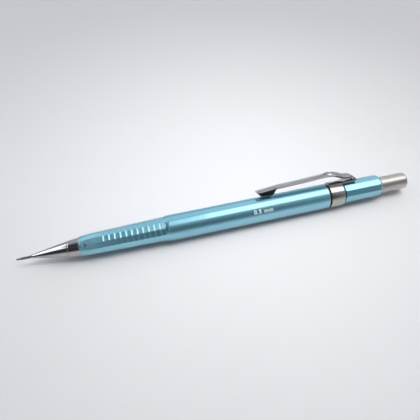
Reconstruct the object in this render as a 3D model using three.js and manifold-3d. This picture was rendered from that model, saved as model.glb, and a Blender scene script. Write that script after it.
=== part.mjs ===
// A push-button mechanical pencil for 0.5 mm lead, lying on its side with its pocket clip on top.
// Millimetres. +X runs from the lead's point to the push cap and +Z is up.
// The origin is the middle of the bottom of the pencil's box, on the surface that it lies on.
// Every place along the pencil, named x..., is counted from the lead's point.
import * as THREE from 'three';
import { mergeVertices } from 'three/addons/utils/BufferGeometryUtils.js';
import Module from 'manifold-3d';

const wasm = await Module();
wasm.setup();

// Whole pencil
const length = 142;
const barrelRadius = 4.64; // to the corners of its 24 sides, 4.6 to their middles
const facetCount = 12;
const facetTurn = 6; // degrees from straight up to the first corner of the twelve-sided stretches
const roundSides = 24;
const roundTurn = 7.5; // puts one of the 24 sides flat on the surface below
const smallSides = 12;
const wireSides = 6;
const slip = 0.05; // clearance of a sliding or pressed fit
const clearance = 0.3; // clearance between neighbours that only pass each other

// Lead, point and nose cone
const leadRadius = 0.25;
const leadLength = 60;
const sleeveFront = 1.4;
const sleeveBack = 9;
const sleeveRadius = 0.44;
const sleeveBore = 0.31;
const coneFront = 5;
const coneFrontRadius = 0.64;
const coneStep = 16.5;
const coneStepRadius = 2.7;
const coneBack = 20.75;
const coneBackRadius = 3.2;
const coneGrooveDepth = 0.12;
const threadRadius = 2.5;
const threadBack = 26;
const retainerFront = 11.6;
const retainerBack = 13.6;
const retainerRadius = 1.1;

// Clutch: three jaws, the ring that closes them, and the housing that the ring pulls against
const jawFront = 18.3;
const jawShoulder = 21;
const jawBack = 30;
const jawHeadRadius = 1.35;
const jawNeckRadius = 1.1;
const jawArmRadius = 0.95;
const jawSlit = 0.16;
const jawRelief = 0.12; // how much wider the jaws' bore is behind their heads
const jawCount = 3;
const ringFront = 19.6;
const ringBack = 21.2;
const ringRadius = 1.9;
const ringStop = 17.95;
const ringChamfer = 0.1;
const housingFront = 21.5;
const housingBack = 34;
const housingRadius = 1.9;
const flangeFront = 26.3;
const flangeBack = 27.3;
const flangeRadius = 2.55;
const housingBore = 1.22;
const stemBack = 58;
const stemBore = 0.42;

// Return spring and lead reservoir
const springFront = 34.3;
const springBack = 49.7;
const springCoils = 10;
const springRadius = 1.5;
const springWire = 0.18;
const stepsPerCoil = 10;
const tubeFront = 50;
const tubeBack = 133.5;
const tubeRadius = 2.2;
const tubeBore = 1.78;
const tubeSocketBack = 57.5;
const spareLeadFront = 62;
const spareLeadCount = 3;
const spareLeadReach = 1.45;
const spareLeadSpread = 22; // degrees between neighbouring spare leads

// Eraser, its holder and the cleaning needle
const ferruleFront = 126;
const ferruleLip = 133.8;
const ferruleBack = 136;
const ferruleWall = 0.2;
const eraserFront = 128.5;
const eraserBack = 139.8;
const eraserRadius = 1.42;
const needleFront = 107;
const needleBack = 128.2;
const needleRadius = 0.2;

// Push cap
const capFront = 124.8;
const capRadius = 3.05;
const capBore = 2.5;
const capRound = 0.9;
const capEndWall = 0.8;

// Barrel
const rimRadius = 3.42;
const rimChamfer = 0.12;
const gripFront = 22.3;
const gripRadii = [[22.3, 3.62], [26, 3.83], [48.6, 4.36]]; // corner radius of the grip's twelve sides
const grooveFirst = 28.75;
const groovePitch = 1.9;
const grooveCount = 11;
const gripGrooveDepth = 0.16;
const grooveHalfWidth = 0.42;
const shoulderFront = 48.6;
const shoulderRise = 0.42; // how far the shoulder climbs to the round middle
const shoulderBack = 51;
const neckFront = 109.6;
const neckBack = 115.55;
const neckRadius = 3.95;
const tailBack = 130.8;
const tailRadius = 4.2;
const tailRound = 1.3;
const threadBore = 2.78;
const seatDepth = 27.6;
const mechanismBore = 2.3;
const mechanismBoreBack = 45;
const tubeBarrelBore = 2.75;
const capWayFront = 121.2;
const capWayBore = 3.35;

// Pocket clip: a band round the barrel's neck with a saddle on it, and a springy arm that folds over
const clipTilt = 30; // degrees that the clip leans from straight up towards +Y
const bandFront = 110.05;
const bandBack = 115.25;
const bandRadius = 4.57;
const bandBore = 4.28;
const clipWidth = 4;
const clipSheet = 0.4;
const saddleFront = 110.5;
const saddleBack = 120.2;
const saddleTop = 4.9;
const insideBand = 3.9; // inside the band's bore, so that the saddle's plate meets the band
const foldBack = 121.3;
const clipTip = 83.2;
const lugBack = 90.6;
const lugWidth = 2.8;
const lugGap = 0.15;

const degrees = THREE.MathUtils.degToRad;

// A turned piece about the X axis. The outline's points are [x, radius]. It starts and ends on the
// axis, or it is a loop that is closed here, and it may run either way round.
function turned(outline, sides = roundSides, turn = roundTurn) {
  const loop = outline.map(([x, radius]) => new THREE.Vector2(radius, x));
  const onAxis = loop[0].x === 0 && loop[loop.length - 1].x === 0;
  if (THREE.ShapeUtils.area(loop) < 0) loop.reverse();
  if (!onAxis) loop.push(loop[0].clone());
  const lathe = new THREE.LatheGeometry(loop, sides, degrees(turn));
  return lathe.rotateZ(-Math.PI / 2);
}

// An outline in the YZ plane, drawn out along X from xStart to xEnd.
function drawnOut(outline, xStart, xEnd) {
  const shape = new THREE.Shape(outline.map(([y, z]) => new THREE.Vector2(y, z)));
  const bar = new THREE.ExtrudeGeometry(shape, { depth: xEnd - xStart, bevelEnabled: false });
  const lie = new THREE.Matrix4().set(0, 0, 1, xStart, 1, 0, 0, 0, 0, 1, 0, 0, 0, 0, 0, 1);
  return bar.applyMatrix4(lie);
}

// An outline in the XZ plane, with a width across Y that is centred on the axis.
function crossPlate(outline, width) {
  const shape = new THREE.Shape(outline.map(([x, z]) => new THREE.Vector2(x, z)));
  const plate = new THREE.ExtrudeGeometry(shape, { depth: width, bevelEnabled: false });
  return plate.rotateX(Math.PI / 2).translate(0, width / 2, 0);
}

function solid(geometry) {
  const bare = geometry.clone();
  bare.deleteAttribute('normal');
  bare.deleteAttribute('uv');
  const welded = mergeVertices(bare, 1e-5);
  const triVerts = new Uint32Array(welded.index.array);
  const vertProperties = new Float32Array(welded.attributes.position.array);
  return new wasm.Manifold(new wasm.Mesh({ numProp: 3, vertProperties, triVerts }));
}

function surface(manifold) {
  const mesh = manifold.getMesh();
  const geometry = new THREE.BufferGeometry();
  geometry.setAttribute('position', new THREE.BufferAttribute(mesh.vertProperties, 3));
  geometry.setIndex(new THREE.BufferAttribute(mesh.triVerts, 1));
  geometry.computeVertexNormals();
  return geometry;
}

function finish(color, roughness, metalness) {
  return { color, roughness, metalness };
}

const finishes = {
  paint: finish(0x7fbfd2, 0.3, 0.45),
  chrome: finish(0xc9c9cb, 0.12, 1),
  satin: finish(0xb9b4ae, 0.32, 1),
  steel: finish(0xa6a8ab, 0.3, 1),
  brass: finish(0xb8954a, 0.35, 1),
  tube: finish(0xe4e6e4, 0.4, 0),
  eraser: finish(0xf1efea, 0.85, 0),
  rubber: finish(0x2b2b2c, 0.8, 0),
  plastic: finish(0x3a3d42, 0.5, 0),
  graphite: finish(0x3b3c40, 0.45, 0.3),
};

const pencil = new THREE.Group();

function add(name, geometry, finishName, group = pencil) {
  const mesh = new THREE.Mesh(geometry, new THREE.MeshStandardMaterial(finishes[finishName]));
  mesh.name = name;
  group.add(mesh);
  return mesh;
}

// ---- Lead and point ----

function leadStick(front) {
  return turned([[front, 0], [front, leadRadius], [front + leadLength, leadRadius],
    [front + leadLength, 0]], smallSides, 0);
}

add('lead', leadStick(0), 'graphite');

add('guide_sleeve', turned([
  [sleeveFront, sleeveBore],
  [sleeveFront, sleeveRadius - 0.04],
  [sleeveFront + 0.08, sleeveRadius],
  [sleeveBack, sleeveRadius],
  [sleeveBack, sleeveBore],
]), 'steel');

add('lead_retainer', turned([
  [retainerFront + slip, leadRadius + slip],
  [retainerFront + slip, retainerRadius - slip],
  [retainerBack - slip, retainerRadius - slip],
  [retainerBack - slip, leadRadius + slip],
]), 'rubber');

// The cone's outside is two tapers with a fine groove between them, and its threaded end goes back
// into the barrel. Inside, from the point: the sleeve's seat, the retainer's pocket and the chamber
// where the jaws open, with the shoulder that stops the clutch ring.
function noseCone() {
  const sleeveSeat = sleeveRadius + slip;
  const chamber = ringRadius - 0.2;
  const threadWayBore = ringRadius + 0.12;
  return turned([
    [coneFront, sleeveSeat],
    [coneFront, coneFrontRadius - 0.06],
    [coneFront + 0.1, coneFrontRadius],
    [coneStep, coneStepRadius],
    [coneStep + 0.1, coneStepRadius - coneGrooveDepth],
    [coneStep + 0.3, coneStepRadius - coneGrooveDepth],
    [coneStep + 0.4, coneStepRadius + 0.06],
    [coneBack, coneBackRadius],
    [coneBack, threadRadius],
    [threadBack, threadRadius],
    [threadBack, threadWayBore],
    [ringStop, threadWayBore],
    [ringStop, chamber],
    [retainerBack + 0.4, chamber - 0.3],
    [retainerBack + 0.4, retainerRadius],
    [retainerFront, retainerRadius],
    [retainerFront, sleeveSeat],
  ]);
}

add('nose_cone', noseCone(), 'chrome');

// ---- Clutch ----

// One jaw is a third of a slit tube. Its thick head tapers back into the clutch ring.
function jawThird() {
  const whole = solid(turned([
    [jawFront, leadRadius + slip],
    [jawFront, jawHeadRadius - 0.15],
    [jawFront + 0.25, jawHeadRadius],
    [ringFront - 0.3, jawHeadRadius],
    [jawShoulder, jawNeckRadius],
    [jawShoulder + 0.5, jawArmRadius],
    [jawBack, jawArmRadius],
    [jawBack, leadRadius + slip + jawRelief],
    [jawShoulder, leadRadius + slip + jawRelief],
    [jawShoulder, leadRadius + slip],
  ]));
  const half = Math.PI / jawCount;
  const reach = 2 * jawHeadRadius;
  const root = jawSlit / 2 / Math.sin(half);
  const side = [reach * Math.sin(half), reach * Math.cos(half)];
  const wedge = solid(drawnOut([
    [0, root],
    [side[0], side[1] + root],
    [0, reach * 2],
    [-side[0], side[1] + root],
  ], jawFront - 1, jawBack + 1));
  return surface(whole.intersect(wedge));
}

const jaw = jawThird();
for (let number = 0; number < jawCount; number += 1) {
  const mesh = add(`chuck_jaw_${number + 1}`, jaw.clone(), 'brass');
  mesh.rotation.x = (number * 2 * Math.PI) / jawCount;
}

add('chuck_stem', turned([
  [jawBack + clearance, stemBore],
  [jawBack + clearance, jawArmRadius],
  [stemBack, jawArmRadius],
  [stemBack, stemBore],
]), 'brass');

// The ring's bore tapers with the jaws' heads.
add('clutch_ring', turned([
  [ringFront, jawHeadRadius + 0.06],
  [ringFront, ringRadius - ringChamfer],
  [ringFront + ringChamfer, ringRadius],
  [ringBack - ringChamfer, ringRadius],
  [ringBack, ringRadius - ringChamfer],
  [ringBack, jawNeckRadius + 0.1],
]), 'brass');

add('chuck_housing', turned([
  [housingFront, housingBore],
  [housingFront, housingRadius],
  [flangeFront, housingRadius],
  [flangeFront, flangeRadius],
  [flangeBack, flangeRadius],
  [flangeBack, housingRadius],
  [housingBack, housingRadius],
  [housingBack, housingBore],
]), 'plastic');

// ---- Return spring ----

class Coil extends THREE.Curve {
  getPoint(t, target = new THREE.Vector3()) {
    const angle = t * springCoils * 2 * Math.PI;
    const front = springFront + springWire;
    const x = front + t * (springBack - springFront - 2 * springWire);
    return target.set(x, springRadius * Math.cos(angle), springRadius * Math.sin(angle));
  }
}

function wireSection(radius, sides) {
  const points = [];
  for (let side = 0; side < sides; side += 1) {
    const angle = (side * 2 * Math.PI) / sides;
    points.push(new THREE.Vector2(radius * Math.cos(angle), radius * Math.sin(angle)));
  }
  return new THREE.Shape(points);
}

add('return_spring', new THREE.ExtrudeGeometry(wireSection(springWire, wireSides), {
  steps: springCoils * stepsPerCoil,
  extrudePath: new Coil(),
  bevelEnabled: false,
}), 'steel');

// ---- Reservoir and spare leads ----

add('reservoir_tube', turned([
  [tubeFront, jawArmRadius + slip],
  [tubeFront, tubeRadius - 0.2],
  [tubeFront + 0.4, tubeRadius],
  [tubeBack, tubeRadius],
  [tubeBack, tubeBore],
  [tubeSocketBack + 1.5, tubeBore],
  [tubeSocketBack, jawArmRadius + slip],
]), 'tube');

// Spare leads lie side by side along the bottom of the reservoir.
for (let number = 0; number < spareLeadCount; number += 1) {
  const mesh = add(`spare_lead_${number + 1}`, leadStick(spareLeadFront), 'graphite');
  const angle = degrees((number - (spareLeadCount - 1) / 2) * spareLeadSpread);
  mesh.position.set(0, spareLeadReach * Math.sin(angle), -spareLeadReach * Math.cos(angle));
}

// ---- Eraser ----

const ferruleBore = eraserRadius + slip;

add('eraser_ferrule', turned([
  [ferruleFront, ferruleBore],
  [ferruleFront, ferruleBore + ferruleWall],
  [ferruleLip, ferruleBore + ferruleWall],
  [ferruleLip, tubeRadius],
  [ferruleLip + 0.5, tubeRadius],
  [ferruleLip + 0.5, ferruleBore + ferruleWall],
  [ferruleBack, ferruleBore + ferruleWall],
  [ferruleBack, ferruleBore],
]), 'satin');

add('eraser', turned([
  [eraserFront, 0],
  [eraserFront, eraserRadius],
  [eraserBack - 0.35, eraserRadius],
  [eraserBack, eraserRadius - 0.35],
  [eraserBack, 0],
]), 'eraser');

add('cleaning_needle', turned([
  [needleFront, 0],
  [needleFront, needleRadius],
  [needleBack - 1, needleRadius],
  [needleBack - 1, ferruleBore - slip],
  [needleBack, ferruleBore - slip],
  [needleBack, 0],
], smallSides, 0), 'steel');

// ---- Push cap ----

// The closed end's edge is rounded with a quarter circle.
function quarterRound(xEnd, radius, round, steps) {
  const points = [];
  for (let step = 0; step <= steps; step += 1) {
    const angle = (step / steps) * (Math.PI / 2);
    points.push([
      xEnd - round + round * Math.sin(angle),
      radius - round + round * Math.cos(angle),
    ]);
  }
  return points;
}

add('push_cap', turned([
  [capFront, capBore],
  [capFront, capRadius],
  ...quarterRound(length, capRadius, capRound, 3),
  [length, 0],
  [length - capEndWall, 0],
  [length - capEndWall, capBore],
]), 'satin');

// ---- Barrel ----

// The corner radius of the twelve-sided grip at a place along it.
function gripRadius(x) {
  const last = gripRadii.length - 1;
  let part = 1;
  while (part < last && x > gripRadii[part][0]) part += 1;
  const [xStart, start] = gripRadii[part - 1];
  const [xEnd, end] = gripRadii[part];
  return start + ((x - xStart) / (xEnd - xStart)) * (end - start);
}

function gripOutline() {
  const outline = [
    [coneBack, 0],
    [coneBack, rimRadius - rimChamfer],
    [coneBack + rimChamfer, rimRadius],
    [gripFront - 0.5, rimRadius + 0.06],
    [gripFront, gripRadius(gripFront)],
    [gripRadii[1][0], gripRadii[1][1]],
  ];
  for (let groove = 0; groove < grooveCount; groove += 1) {
    const x = grooveFirst + groove * groovePitch;
    outline.push([x - grooveHalfWidth, gripRadius(x - grooveHalfWidth)]);
    outline.push([x, gripRadius(x) - gripGrooveDepth]);
    outline.push([x + grooveHalfWidth, gripRadius(x + grooveHalfWidth)]);
  }
  outline.push([shoulderBack, gripRadius(shoulderFront)]);
  outline.push([shoulderBack, 0]);
  return outline;
}

function barrel() {
  const grip = solid(turned(gripOutline(), facetCount, facetTurn));
  const body = solid(turned([
    [shoulderFront, 0],
    [shoulderFront, barrelRadius - shoulderRise],
    [shoulderBack, barrelRadius],
    [neckFront, barrelRadius],
    [neckFront, neckRadius],
    [neckBack + 1, neckRadius],
    [neckBack + 1, 0],
  ]));
  const tail = solid(turned([
    [neckBack, 0],
    [neckBack, tailRadius],
    ...quarterRound(tailBack, tailRadius, tailRound, 3).slice(0, 3),
    [tailBack, capWayBore + rimChamfer],
    [tailBack, 0],
  ], facetCount, facetTurn));
  const bore = solid(turned([
    [coneBack - 1, 0],
    [coneBack - 1, threadBore],
    [seatDepth, threadBore],
    [seatDepth, mechanismBore],
    [mechanismBoreBack, mechanismBore],
    [mechanismBoreBack, tubeBarrelBore],
    [capWayFront, tubeBarrelBore],
    [capWayFront, capWayBore],
    [tailBack + 1, capWayBore],
    [tailBack + 1, 0],
  ]));
  return surface(grip.add(body).add(tail).subtract(bore));
}

add('barrel', barrel(), 'paint');

// ---- Pocket clip ----

const clip = new THREE.Group();
clip.rotation.x = -degrees(clipTilt);
pencil.add(clip);

// The arm's top edge, from its tip over the hump and down to the fold, as [x, height above the axis].
const armTop = [
  [clipTip, 6.9],
  [88, 7.35],
  [92, 7.6],
  [99, 7.8],
  [104, 8.03],
  [109, 8.3],
  [111.3, 8.4],
  [112.8, 8.28],
  [115.6, 7.35],
  [116.9, 7.05],
  [118.3, 6.9],
  [119.6, 6.45],
  [120.6, 5.8],
  [foldBack - 0.15, 5.15],
  [foldBack, 4.8],
  [foldBack - 0.25, 4.5],
];

// The saddle is a plate on top of the band that runs back under the fold. The band's own bore is cut
// through it, so it is clear of the barrel's neck and tail.
function clipBand() {
  const band = solid(turned([
    [bandFront, bandBore],
    [bandFront, bandRadius],
    [bandBack, bandRadius],
    [bandBack, bandBore],
  ], 2 * roundSides, 0));
  const plate = solid(crossPlate([
    [saddleFront, insideBand],
    [saddleFront, saddleTop],
    [saddleBack, saddleTop],
    [saddleBack, insideBand],
  ], clipWidth));
  const way = solid(turned([
    [bandFront - 1, 0],
    [bandFront - 1, bandBore],
    [foldBack, bandBore],
    [foldBack, 0],
  ], 2 * roundSides, 0));
  return surface(plate.add(band).subtract(way));
}

function clipArm() {
  // The underside is the top edge moved in by the sheet's thickness, all the way round the fold.
  const inside = armTop.map(([x, z], index) => {
    const [xBefore, zBefore] = armTop[Math.max(index - 1, 0)];
    const [xAfter, zAfter] = armTop[Math.min(index + 1, armTop.length - 1)];
    const along = new THREE.Vector2(xAfter - xBefore, zAfter - zBefore).normalize();
    return [x + along.y * clipSheet, z - along.x * clipSheet];
  });
  const strip = solid(crossPlate([...armTop, ...inside.reverse()], clipWidth));
  const lugBottom = barrelRadius + lugGap;
  const lug = solid(crossPlate([
    [clipTip + 0.5, 6.7],
    [clipTip + 0.9, lugBottom + 0.9],
    [clipTip + 1.7, lugBottom + 0.2],
    [clipTip + 4, lugBottom],
    [clipTip + 5.5, lugBottom + 0.3],
    [lugBack, 7.2],
  ], lugWidth));
  return surface(strip.add(lug));
}

add('clip_band', clipBand(), 'chrome', clip);
add('clip_arm', clipArm(), 'chrome', clip);

// ---- Place the pencil in its own frame ----

const box = new THREE.Box3().setFromObject(pencil, true);
pencil.position.set(-(box.min.x + box.max.x) / 2, -(box.min.y + box.max.y) / 2, -box.min.z);
pencil.updateMatrixWorld(true);

export default pencil;
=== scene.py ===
"""The looks of a push-button mechanical pencil that lies on a pale table.

Pieces are laid out in millimetres along the pencil: x is counted from the lead's point, and r is the
distance from the pencil's axis. An angle round the axis starts at the top and turns to the front.
"""
import math

import bmesh
import bpy
import numpy as np
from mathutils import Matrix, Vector

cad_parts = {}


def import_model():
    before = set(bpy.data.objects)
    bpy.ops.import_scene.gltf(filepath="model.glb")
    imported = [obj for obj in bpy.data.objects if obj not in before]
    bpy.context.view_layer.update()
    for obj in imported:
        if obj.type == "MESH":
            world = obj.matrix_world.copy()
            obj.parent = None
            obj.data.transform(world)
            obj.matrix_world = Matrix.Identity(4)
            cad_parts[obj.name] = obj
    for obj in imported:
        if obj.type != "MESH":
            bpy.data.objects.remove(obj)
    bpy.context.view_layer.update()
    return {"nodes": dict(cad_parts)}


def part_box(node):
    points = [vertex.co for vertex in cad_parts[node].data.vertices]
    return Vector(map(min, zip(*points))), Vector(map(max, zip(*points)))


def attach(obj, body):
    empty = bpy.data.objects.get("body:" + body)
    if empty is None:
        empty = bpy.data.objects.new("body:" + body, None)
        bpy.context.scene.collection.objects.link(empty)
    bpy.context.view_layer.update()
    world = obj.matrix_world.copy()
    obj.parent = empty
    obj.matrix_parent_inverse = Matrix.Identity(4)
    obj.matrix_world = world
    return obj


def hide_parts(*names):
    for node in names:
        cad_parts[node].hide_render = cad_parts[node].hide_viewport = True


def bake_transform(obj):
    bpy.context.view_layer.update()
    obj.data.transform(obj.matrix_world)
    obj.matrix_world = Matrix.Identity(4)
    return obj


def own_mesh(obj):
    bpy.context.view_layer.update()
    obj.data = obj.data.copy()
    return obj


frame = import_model()

MM = 0.001
AROUND = 192  # points round a piece that is seen from outside
AROUND_SMALL = 64  # points round a thin or hidden piece
AROUND_LEAD = 32  # points round a lead

# ---------------------------------------------------------------- places, from the frame

cap_low, cap_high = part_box("push_cap")
POINT_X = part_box("lead")[0].x
AXIS_Y = (cap_low.y + cap_high.y) / 2
AXIS_Z = (cap_low.z + cap_high.z) / 2


def along(x):
    """A place along the pencil, in millimetres from the lead's point."""
    return (x - POINT_X) / MM


def span(node):
    """The front and back of a CAD node, in millimetres from the lead's point."""
    low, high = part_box(node)
    return along(low.x), along(high.x)


BARREL_FRONT, BARREL_BACK = span("barrel")
CAP_FRONT, CAP_BACK = span("push_cap")
CONE_FRONT, CONE_BACK = span("nose_cone")
ARM_TIP = span("clip_arm")[0]
BAND_FRONT = BARREL_FRONT + 89.3
BAND_BACK = BARREL_FRONT + 94.5

BARREL_RADIUS = (AXIS_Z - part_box("barrel")[0].z) / MM  # the round middle rests on the table
CAP_RADIUS = 3.05
LEAD_RADIUS = 0.25

# ---------------------------------------------------------------- mesh tools


def world(points):
    """The frame's places, in metres, of points in millimetres from the lead's point and the axis."""
    return np.asarray(points, float) * MM + np.array([POINT_X, AXIS_Y, AXIS_Z])


def angles(count, start=0.0):
    """Evenly spaced angles round the axis, the first at start degrees."""
    return math.radians(start) + np.arange(count) * 2 * math.pi / count


def ring(x, radius, turn):
    """One ring of points at x. radius is a number, or a list with one for each angle."""
    radius = np.broadcast_to(np.asarray(radius, float), turn.shape)
    return np.column_stack(
        [np.full(turn.shape, x), -radius * np.sin(turn), radius * np.cos(turn)]
    )


def skin(name, rings, joined=False, sharp=35):
    """A closed mesh over rings of points.

    joined joins the last ring to the first. Otherwise both ends are capped.
    """
    count = len(rings[0])
    points = world(np.vstack(rings))
    faces = []
    last = len(rings) if joined else len(rings) - 1
    for i in range(last):
        here, after = i * count, ((i + 1) % len(rings)) * count
        for j in range(count):
            k = (j + 1) % count
            faces.append((here + j, here + k, after + k, after + j))
    if not joined:
        faces.append(tuple(range(count)))
        faces.append(tuple(range(len(points) - 1, len(points) - count - 1, -1)))
    mesh = bpy.data.meshes.new(name)
    mesh.from_pydata([tuple(p) for p in points], [], faces)
    return tidy(name, mesh, sharp)


def tidy(name, mesh, sharp=35):
    """Turns the faces out and keeps only the edges that are sharper than the angle, in degrees."""
    work = bmesh.new()
    work.from_mesh(mesh)
    bmesh.ops.remove_doubles(work, verts=work.verts, dist=1e-8)
    bmesh.ops.recalc_face_normals(work, faces=work.faces)
    work.to_mesh(mesh)
    work.free()
    mesh.shade_smooth()
    mesh.set_sharp_from_angle(angle=math.radians(sharp))
    piece = bpy.data.objects.new(name, mesh)
    bpy.context.scene.collection.objects.link(piece)
    return piece


def soften(outline, radius=0.1, steps=4):
    """A loop of [x, r] points with each corner rounded off."""
    loop = [np.array(p, float) for p in outline]
    soft = []
    for i, corner in enumerate(loop):
        before, after = loop[i - 1], loop[(i + 1) % len(loop)]
        to_before, to_after = before - corner, after - corner
        reach = min(radius, 0.4 * np.linalg.norm(to_before), 0.4 * np.linalg.norm(to_after))
        start = corner + to_before / np.linalg.norm(to_before) * reach
        end = corner + to_after / np.linalg.norm(to_after) * reach
        for t in np.linspace(0, 1, steps):
            soft.append((1 - t) ** 2 * start + 2 * t * (1 - t) * corner + t**2 * end)
    return soft


def turned(name, outline, around=AROUND, soft=0.06, sharp=35):
    """A turned hollow piece: the loop of [x, r] points, with rounded corners, spun round the axis."""
    turn = angles(around)
    return skin(name, [ring(x, r, turn) for x, r in soften(outline, soft)], True, sharp)


def tube(node, bore, radius, soft):
    """A plain turned tube as long as its CAD node, with rounded edges."""
    front, back = span(node)
    outline = [[front, bore], [front, radius], [back, radius], [back, bore]]
    return turned(node, outline, AROUND_SMALL, soft)


def turned_bar(name, outline, around=AROUND_SMALL, middle=(0.0, 0.0), sharp=35):
    """A turned solid piece. The outline runs from its front to its back."""
    turn = angles(around)
    rings = [ring(x, r, turn) + np.array([0, *middle]) for x, r in outline]
    return skin(name, rings, False, sharp)


def arc(x_middle, r_middle, radius_x, radius_r, start, end, steps):
    """Points on an ellipse from one angle to another, in degrees from the pencil's direction."""
    swing = np.radians(np.linspace(start, end, steps))
    return [[x_middle + radius_x * math.cos(a), r_middle + radius_r * math.sin(a)] for a in swing]


def smooth_path(points, step):
    """A smooth curve through the points, with a point at about every step."""
    p = np.array(points, float)
    p = np.vstack([2 * p[0] - p[1], p, 2 * p[-1] - p[-2]])
    path = []
    for i in range(1, len(p) - 2):
        pieces = max(1, round(float(np.linalg.norm(p[i + 1] - p[i])) / step))
        for t in np.arange(pieces) / pieces:
            a, b, c, d = p[i - 1], p[i], p[i + 1], p[i + 2]
            path.append(
                0.5
                * (
                    2 * b
                    + (c - a) * t
                    + (2 * a - 5 * b + 4 * c - d) * t**2
                    + (3 * b - a - 3 * c + d) * t**3
                )
            )
    path.append(p[-2])
    return np.array(path)


def place(piece, body, slot, material, *nodes):
    """The piece gets its material, rides on its body and stands for CAD nodes. Its slot is not used."""
    piece.data.materials.clear()
    piece.data.materials.append(material)
    if body:
        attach(piece, body)
    if nodes:
        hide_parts(*nodes)
    return piece


# ---------------------------------------------------------------- materials

NOISE_LOW, NOISE_HIGH = 0.3, 0.7  # a noise node's value seldom leaves this range
FLAKE_SHARE = 0.7  # how much the flakes count in the paint's colour beside its slow drift


class Nodes:
    """A short way to write a material's nodes."""

    def __init__(self, name):
        self.material = bpy.data.materials.new(name)
        self.material.use_nodes = True
        self.tree = self.material.node_tree
        self.shader = self.tree.nodes["Principled BSDF"]

    def add(self, kind, links=None, **values):
        """A new node. Values become its settings or its inputs, and sockets are linked to its inputs."""
        node = self.tree.nodes.new(kind)
        for key, value in values.items():
            if hasattr(node, key):
                setattr(node, key, value)
            else:
                node.inputs[key.replace("_", " ")].default_value = value
        for key, socket in (links or {}).items():
            self.tree.links.new(socket, node.inputs[key])
        return node

    def place(self, scale=(1, 1, 1)):
        """Object coordinates in millimetres, stretched by scale."""
        where = self.add("ShaderNodeTexCoord").outputs["Object"]
        stretch = [s / MM for s in scale]
        return self.add("ShaderNodeMapping", {"Vector": where}, Scale=stretch).outputs[0]

    def noise(self, scale, detail=3.0, stretch=(1, 1, 1)):
        """Noise that repeats about scale times in a millimetre."""
        where = self.place(stretch)
        return self.add(
            "ShaderNodeTexNoise", {"Vector": where}, Scale=scale, Detail=detail
        ).outputs["Fac"]

    def spread(self, value, low, high):
        """Noise turned into numbers from low to high."""
        return self.add(
            "ShaderNodeMapRange",
            {"Value": value},
            From_Min=NOISE_LOW,
            From_Max=NOISE_HIGH,
            To_Min=low,
            To_Max=high,
        ).outputs[0]

    def blend(self, value, colors):
        """Noise turned into colours between the two."""
        ramp = self.add("ShaderNodeValToRGB", {"Fac": value})
        for element, stop, color in zip(ramp.color_ramp.elements, (NOISE_LOW, NOISE_HIGH), colors):
            element.position = stop
            element.color = (*color, 1)
        return ramp.outputs["Color"]

    def bump(self, value, height, strength=1.0):
        """Relief of this height in millimetres."""
        return self.add(
            "ShaderNodeBump", {"Height": value}, Strength=strength, Distance=height * MM
        ).outputs[0]

    def set(self, **values):
        """Numbers are set on the shader's sockets, and sockets are linked to them."""
        for key, value in values.items():
            socket = self.shader.inputs[key.replace("_", " ")]
            if isinstance(value, bpy.types.NodeSocket):
                self.tree.links.new(value, socket)
            else:
                socket.default_value = value
        return self


def painted_barrel():
    """Pearl blue paint under a clear coat: fine flakes, slow drift in colour, faint orange peel.

    Like other pearl paint it is darker where it is seen at a low angle.
    """
    m = Nodes("pearl blue paint")
    flakes = m.noise(7.0, 2.0)
    drift = m.spread(m.noise(0.08, 2.0), 0.0, 1 - FLAKE_SHARE)
    mixed = m.add("ShaderNodeMath", operation="MULTIPLY_ADD")
    m.tree.links.new(flakes, mixed.inputs[0])
    mixed.inputs[1].default_value = FLAKE_SHARE
    m.tree.links.new(drift, mixed.inputs[2])
    m.set(
        Base_Color=m.blend(mixed.outputs[0], [(0.208, 0.515, 0.635), (0.23, 0.55, 0.675)]),
        Metallic=0.85,
        Roughness=m.spread(m.noise(5.0), 0.2, 0.23),
        Normal=m.bump(m.noise(1.2, 2.0), 0.001, 0.15),
        Specular_Tint=(0.02, 0.06, 0.08, 1.0),
        Coat_Weight=1.0,
        Coat_Roughness=0.06,
        Coat_IOR=1.75,
    )
    return m.material


def turned_metal(name, dark, light, rough, line_height):
    """Metal with fine turning lines round the axis."""
    m = Nodes(name)
    lines = m.noise(6.0, 4.0, (1, 0.02, 0.02))
    m.set(
        Base_Color=m.blend(m.noise(0.5), [dark, light]),
        Metallic=1.0,
        Roughness=m.spread(lines, rough[0], rough[1]),
        Normal=m.bump(lines, line_height, 0.6),
    )
    return m.material


def pressed_sheet():
    """Bright pressed steel: polished, with the soft unevenness of the press and fine grain along it."""
    m = Nodes("pressed clip steel")
    grain = m.noise(7.0, 4.0, (0.05, 1, 1))
    m.set(
        Base_Color=m.blend(m.noise(0.4), [(0.37, 0.373, 0.385), (0.42, 0.423, 0.435)]),
        Metallic=1.0,
        Roughness=m.spread(grain, 0.12, 0.2),
        Normal=m.bump(m.noise(0.6, 1.0), 0.004, 0.3),
    )
    return m.material


def moulded(name, dark, light, rough=(0.4, 0.5), grain=3.0, height=0.006, **extra):
    """Plastic or rubber with a fine grain and a little variation in colour."""
    m = Nodes(name)
    m.set(
        Base_Color=m.blend(m.noise(0.3), [dark, light]),
        Roughness=m.spread(m.noise(grain), rough[0], rough[1]),
        Normal=m.bump(m.noise(grain, 4.0), height, 0.6),
        **extra,
    )
    return m.material


def graphite():
    """Pencil lead: a dull dark shine with a grain along the stick."""
    m = Nodes("polished graphite")
    grain = m.noise(12.0, 3.0, (0.15, 1, 1))
    m.set(
        Base_Color=m.blend(grain, [(0.035, 0.036, 0.04), (0.10, 0.10, 0.11)]),
        Metallic=0.35,
        Roughness=m.spread(grain, 0.28, 0.5),
        Normal=m.bump(grain, 0.006, 0.5),
    )
    return m.material


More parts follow.
